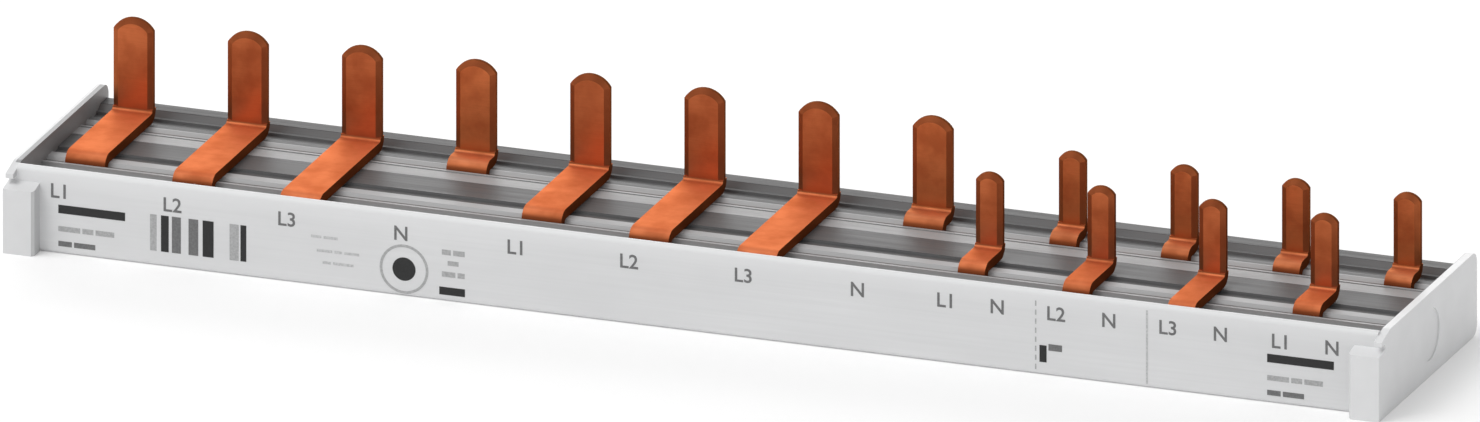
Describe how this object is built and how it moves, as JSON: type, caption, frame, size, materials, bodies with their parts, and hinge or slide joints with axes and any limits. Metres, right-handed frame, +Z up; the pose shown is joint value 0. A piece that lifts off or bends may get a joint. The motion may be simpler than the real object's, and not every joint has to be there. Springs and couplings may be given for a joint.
{
  "type": "comb busbar",
  "caption": "Phase and neutral comb busbar: stamped copper combs with bent pins, held in a light grey plastic trough with slotted insulating strips and a cap on each end.",
  "frame": {"origin": "centre of the bounding box's bottom, on the trough's underside", "axes": "+X along the busbar, from the wide pins to the narrow pins; +Y from the labelled front wall to the back wall; +Z up along the pins"},
  "size_m": [0.2146, 0.0414, 0.026],
  "materials": {
    "light_plastic": "matte",
    "mid_plastic": "matte",
    "dark_plastic": "matte",
    "copper": "satin",
    "cap_plastic": "matte"
  },
  "bodies": {
    "root": {"housing": "light_plastic", "phase_insulator": "mid_plastic", "centre_spacer": "dark_plastic", "neutral_insulator": "mid_plastic", "rear_spacer": "dark_plastic", "phase_bar_l1": "copper", "phase_bar_l2": "copper", "phase_bar_l3": "copper", "neutral_bar": "copper", "end_cap_left": "cap_plastic", "end_cap_right": "cap_plastic"}
  },
  "joints": []
}
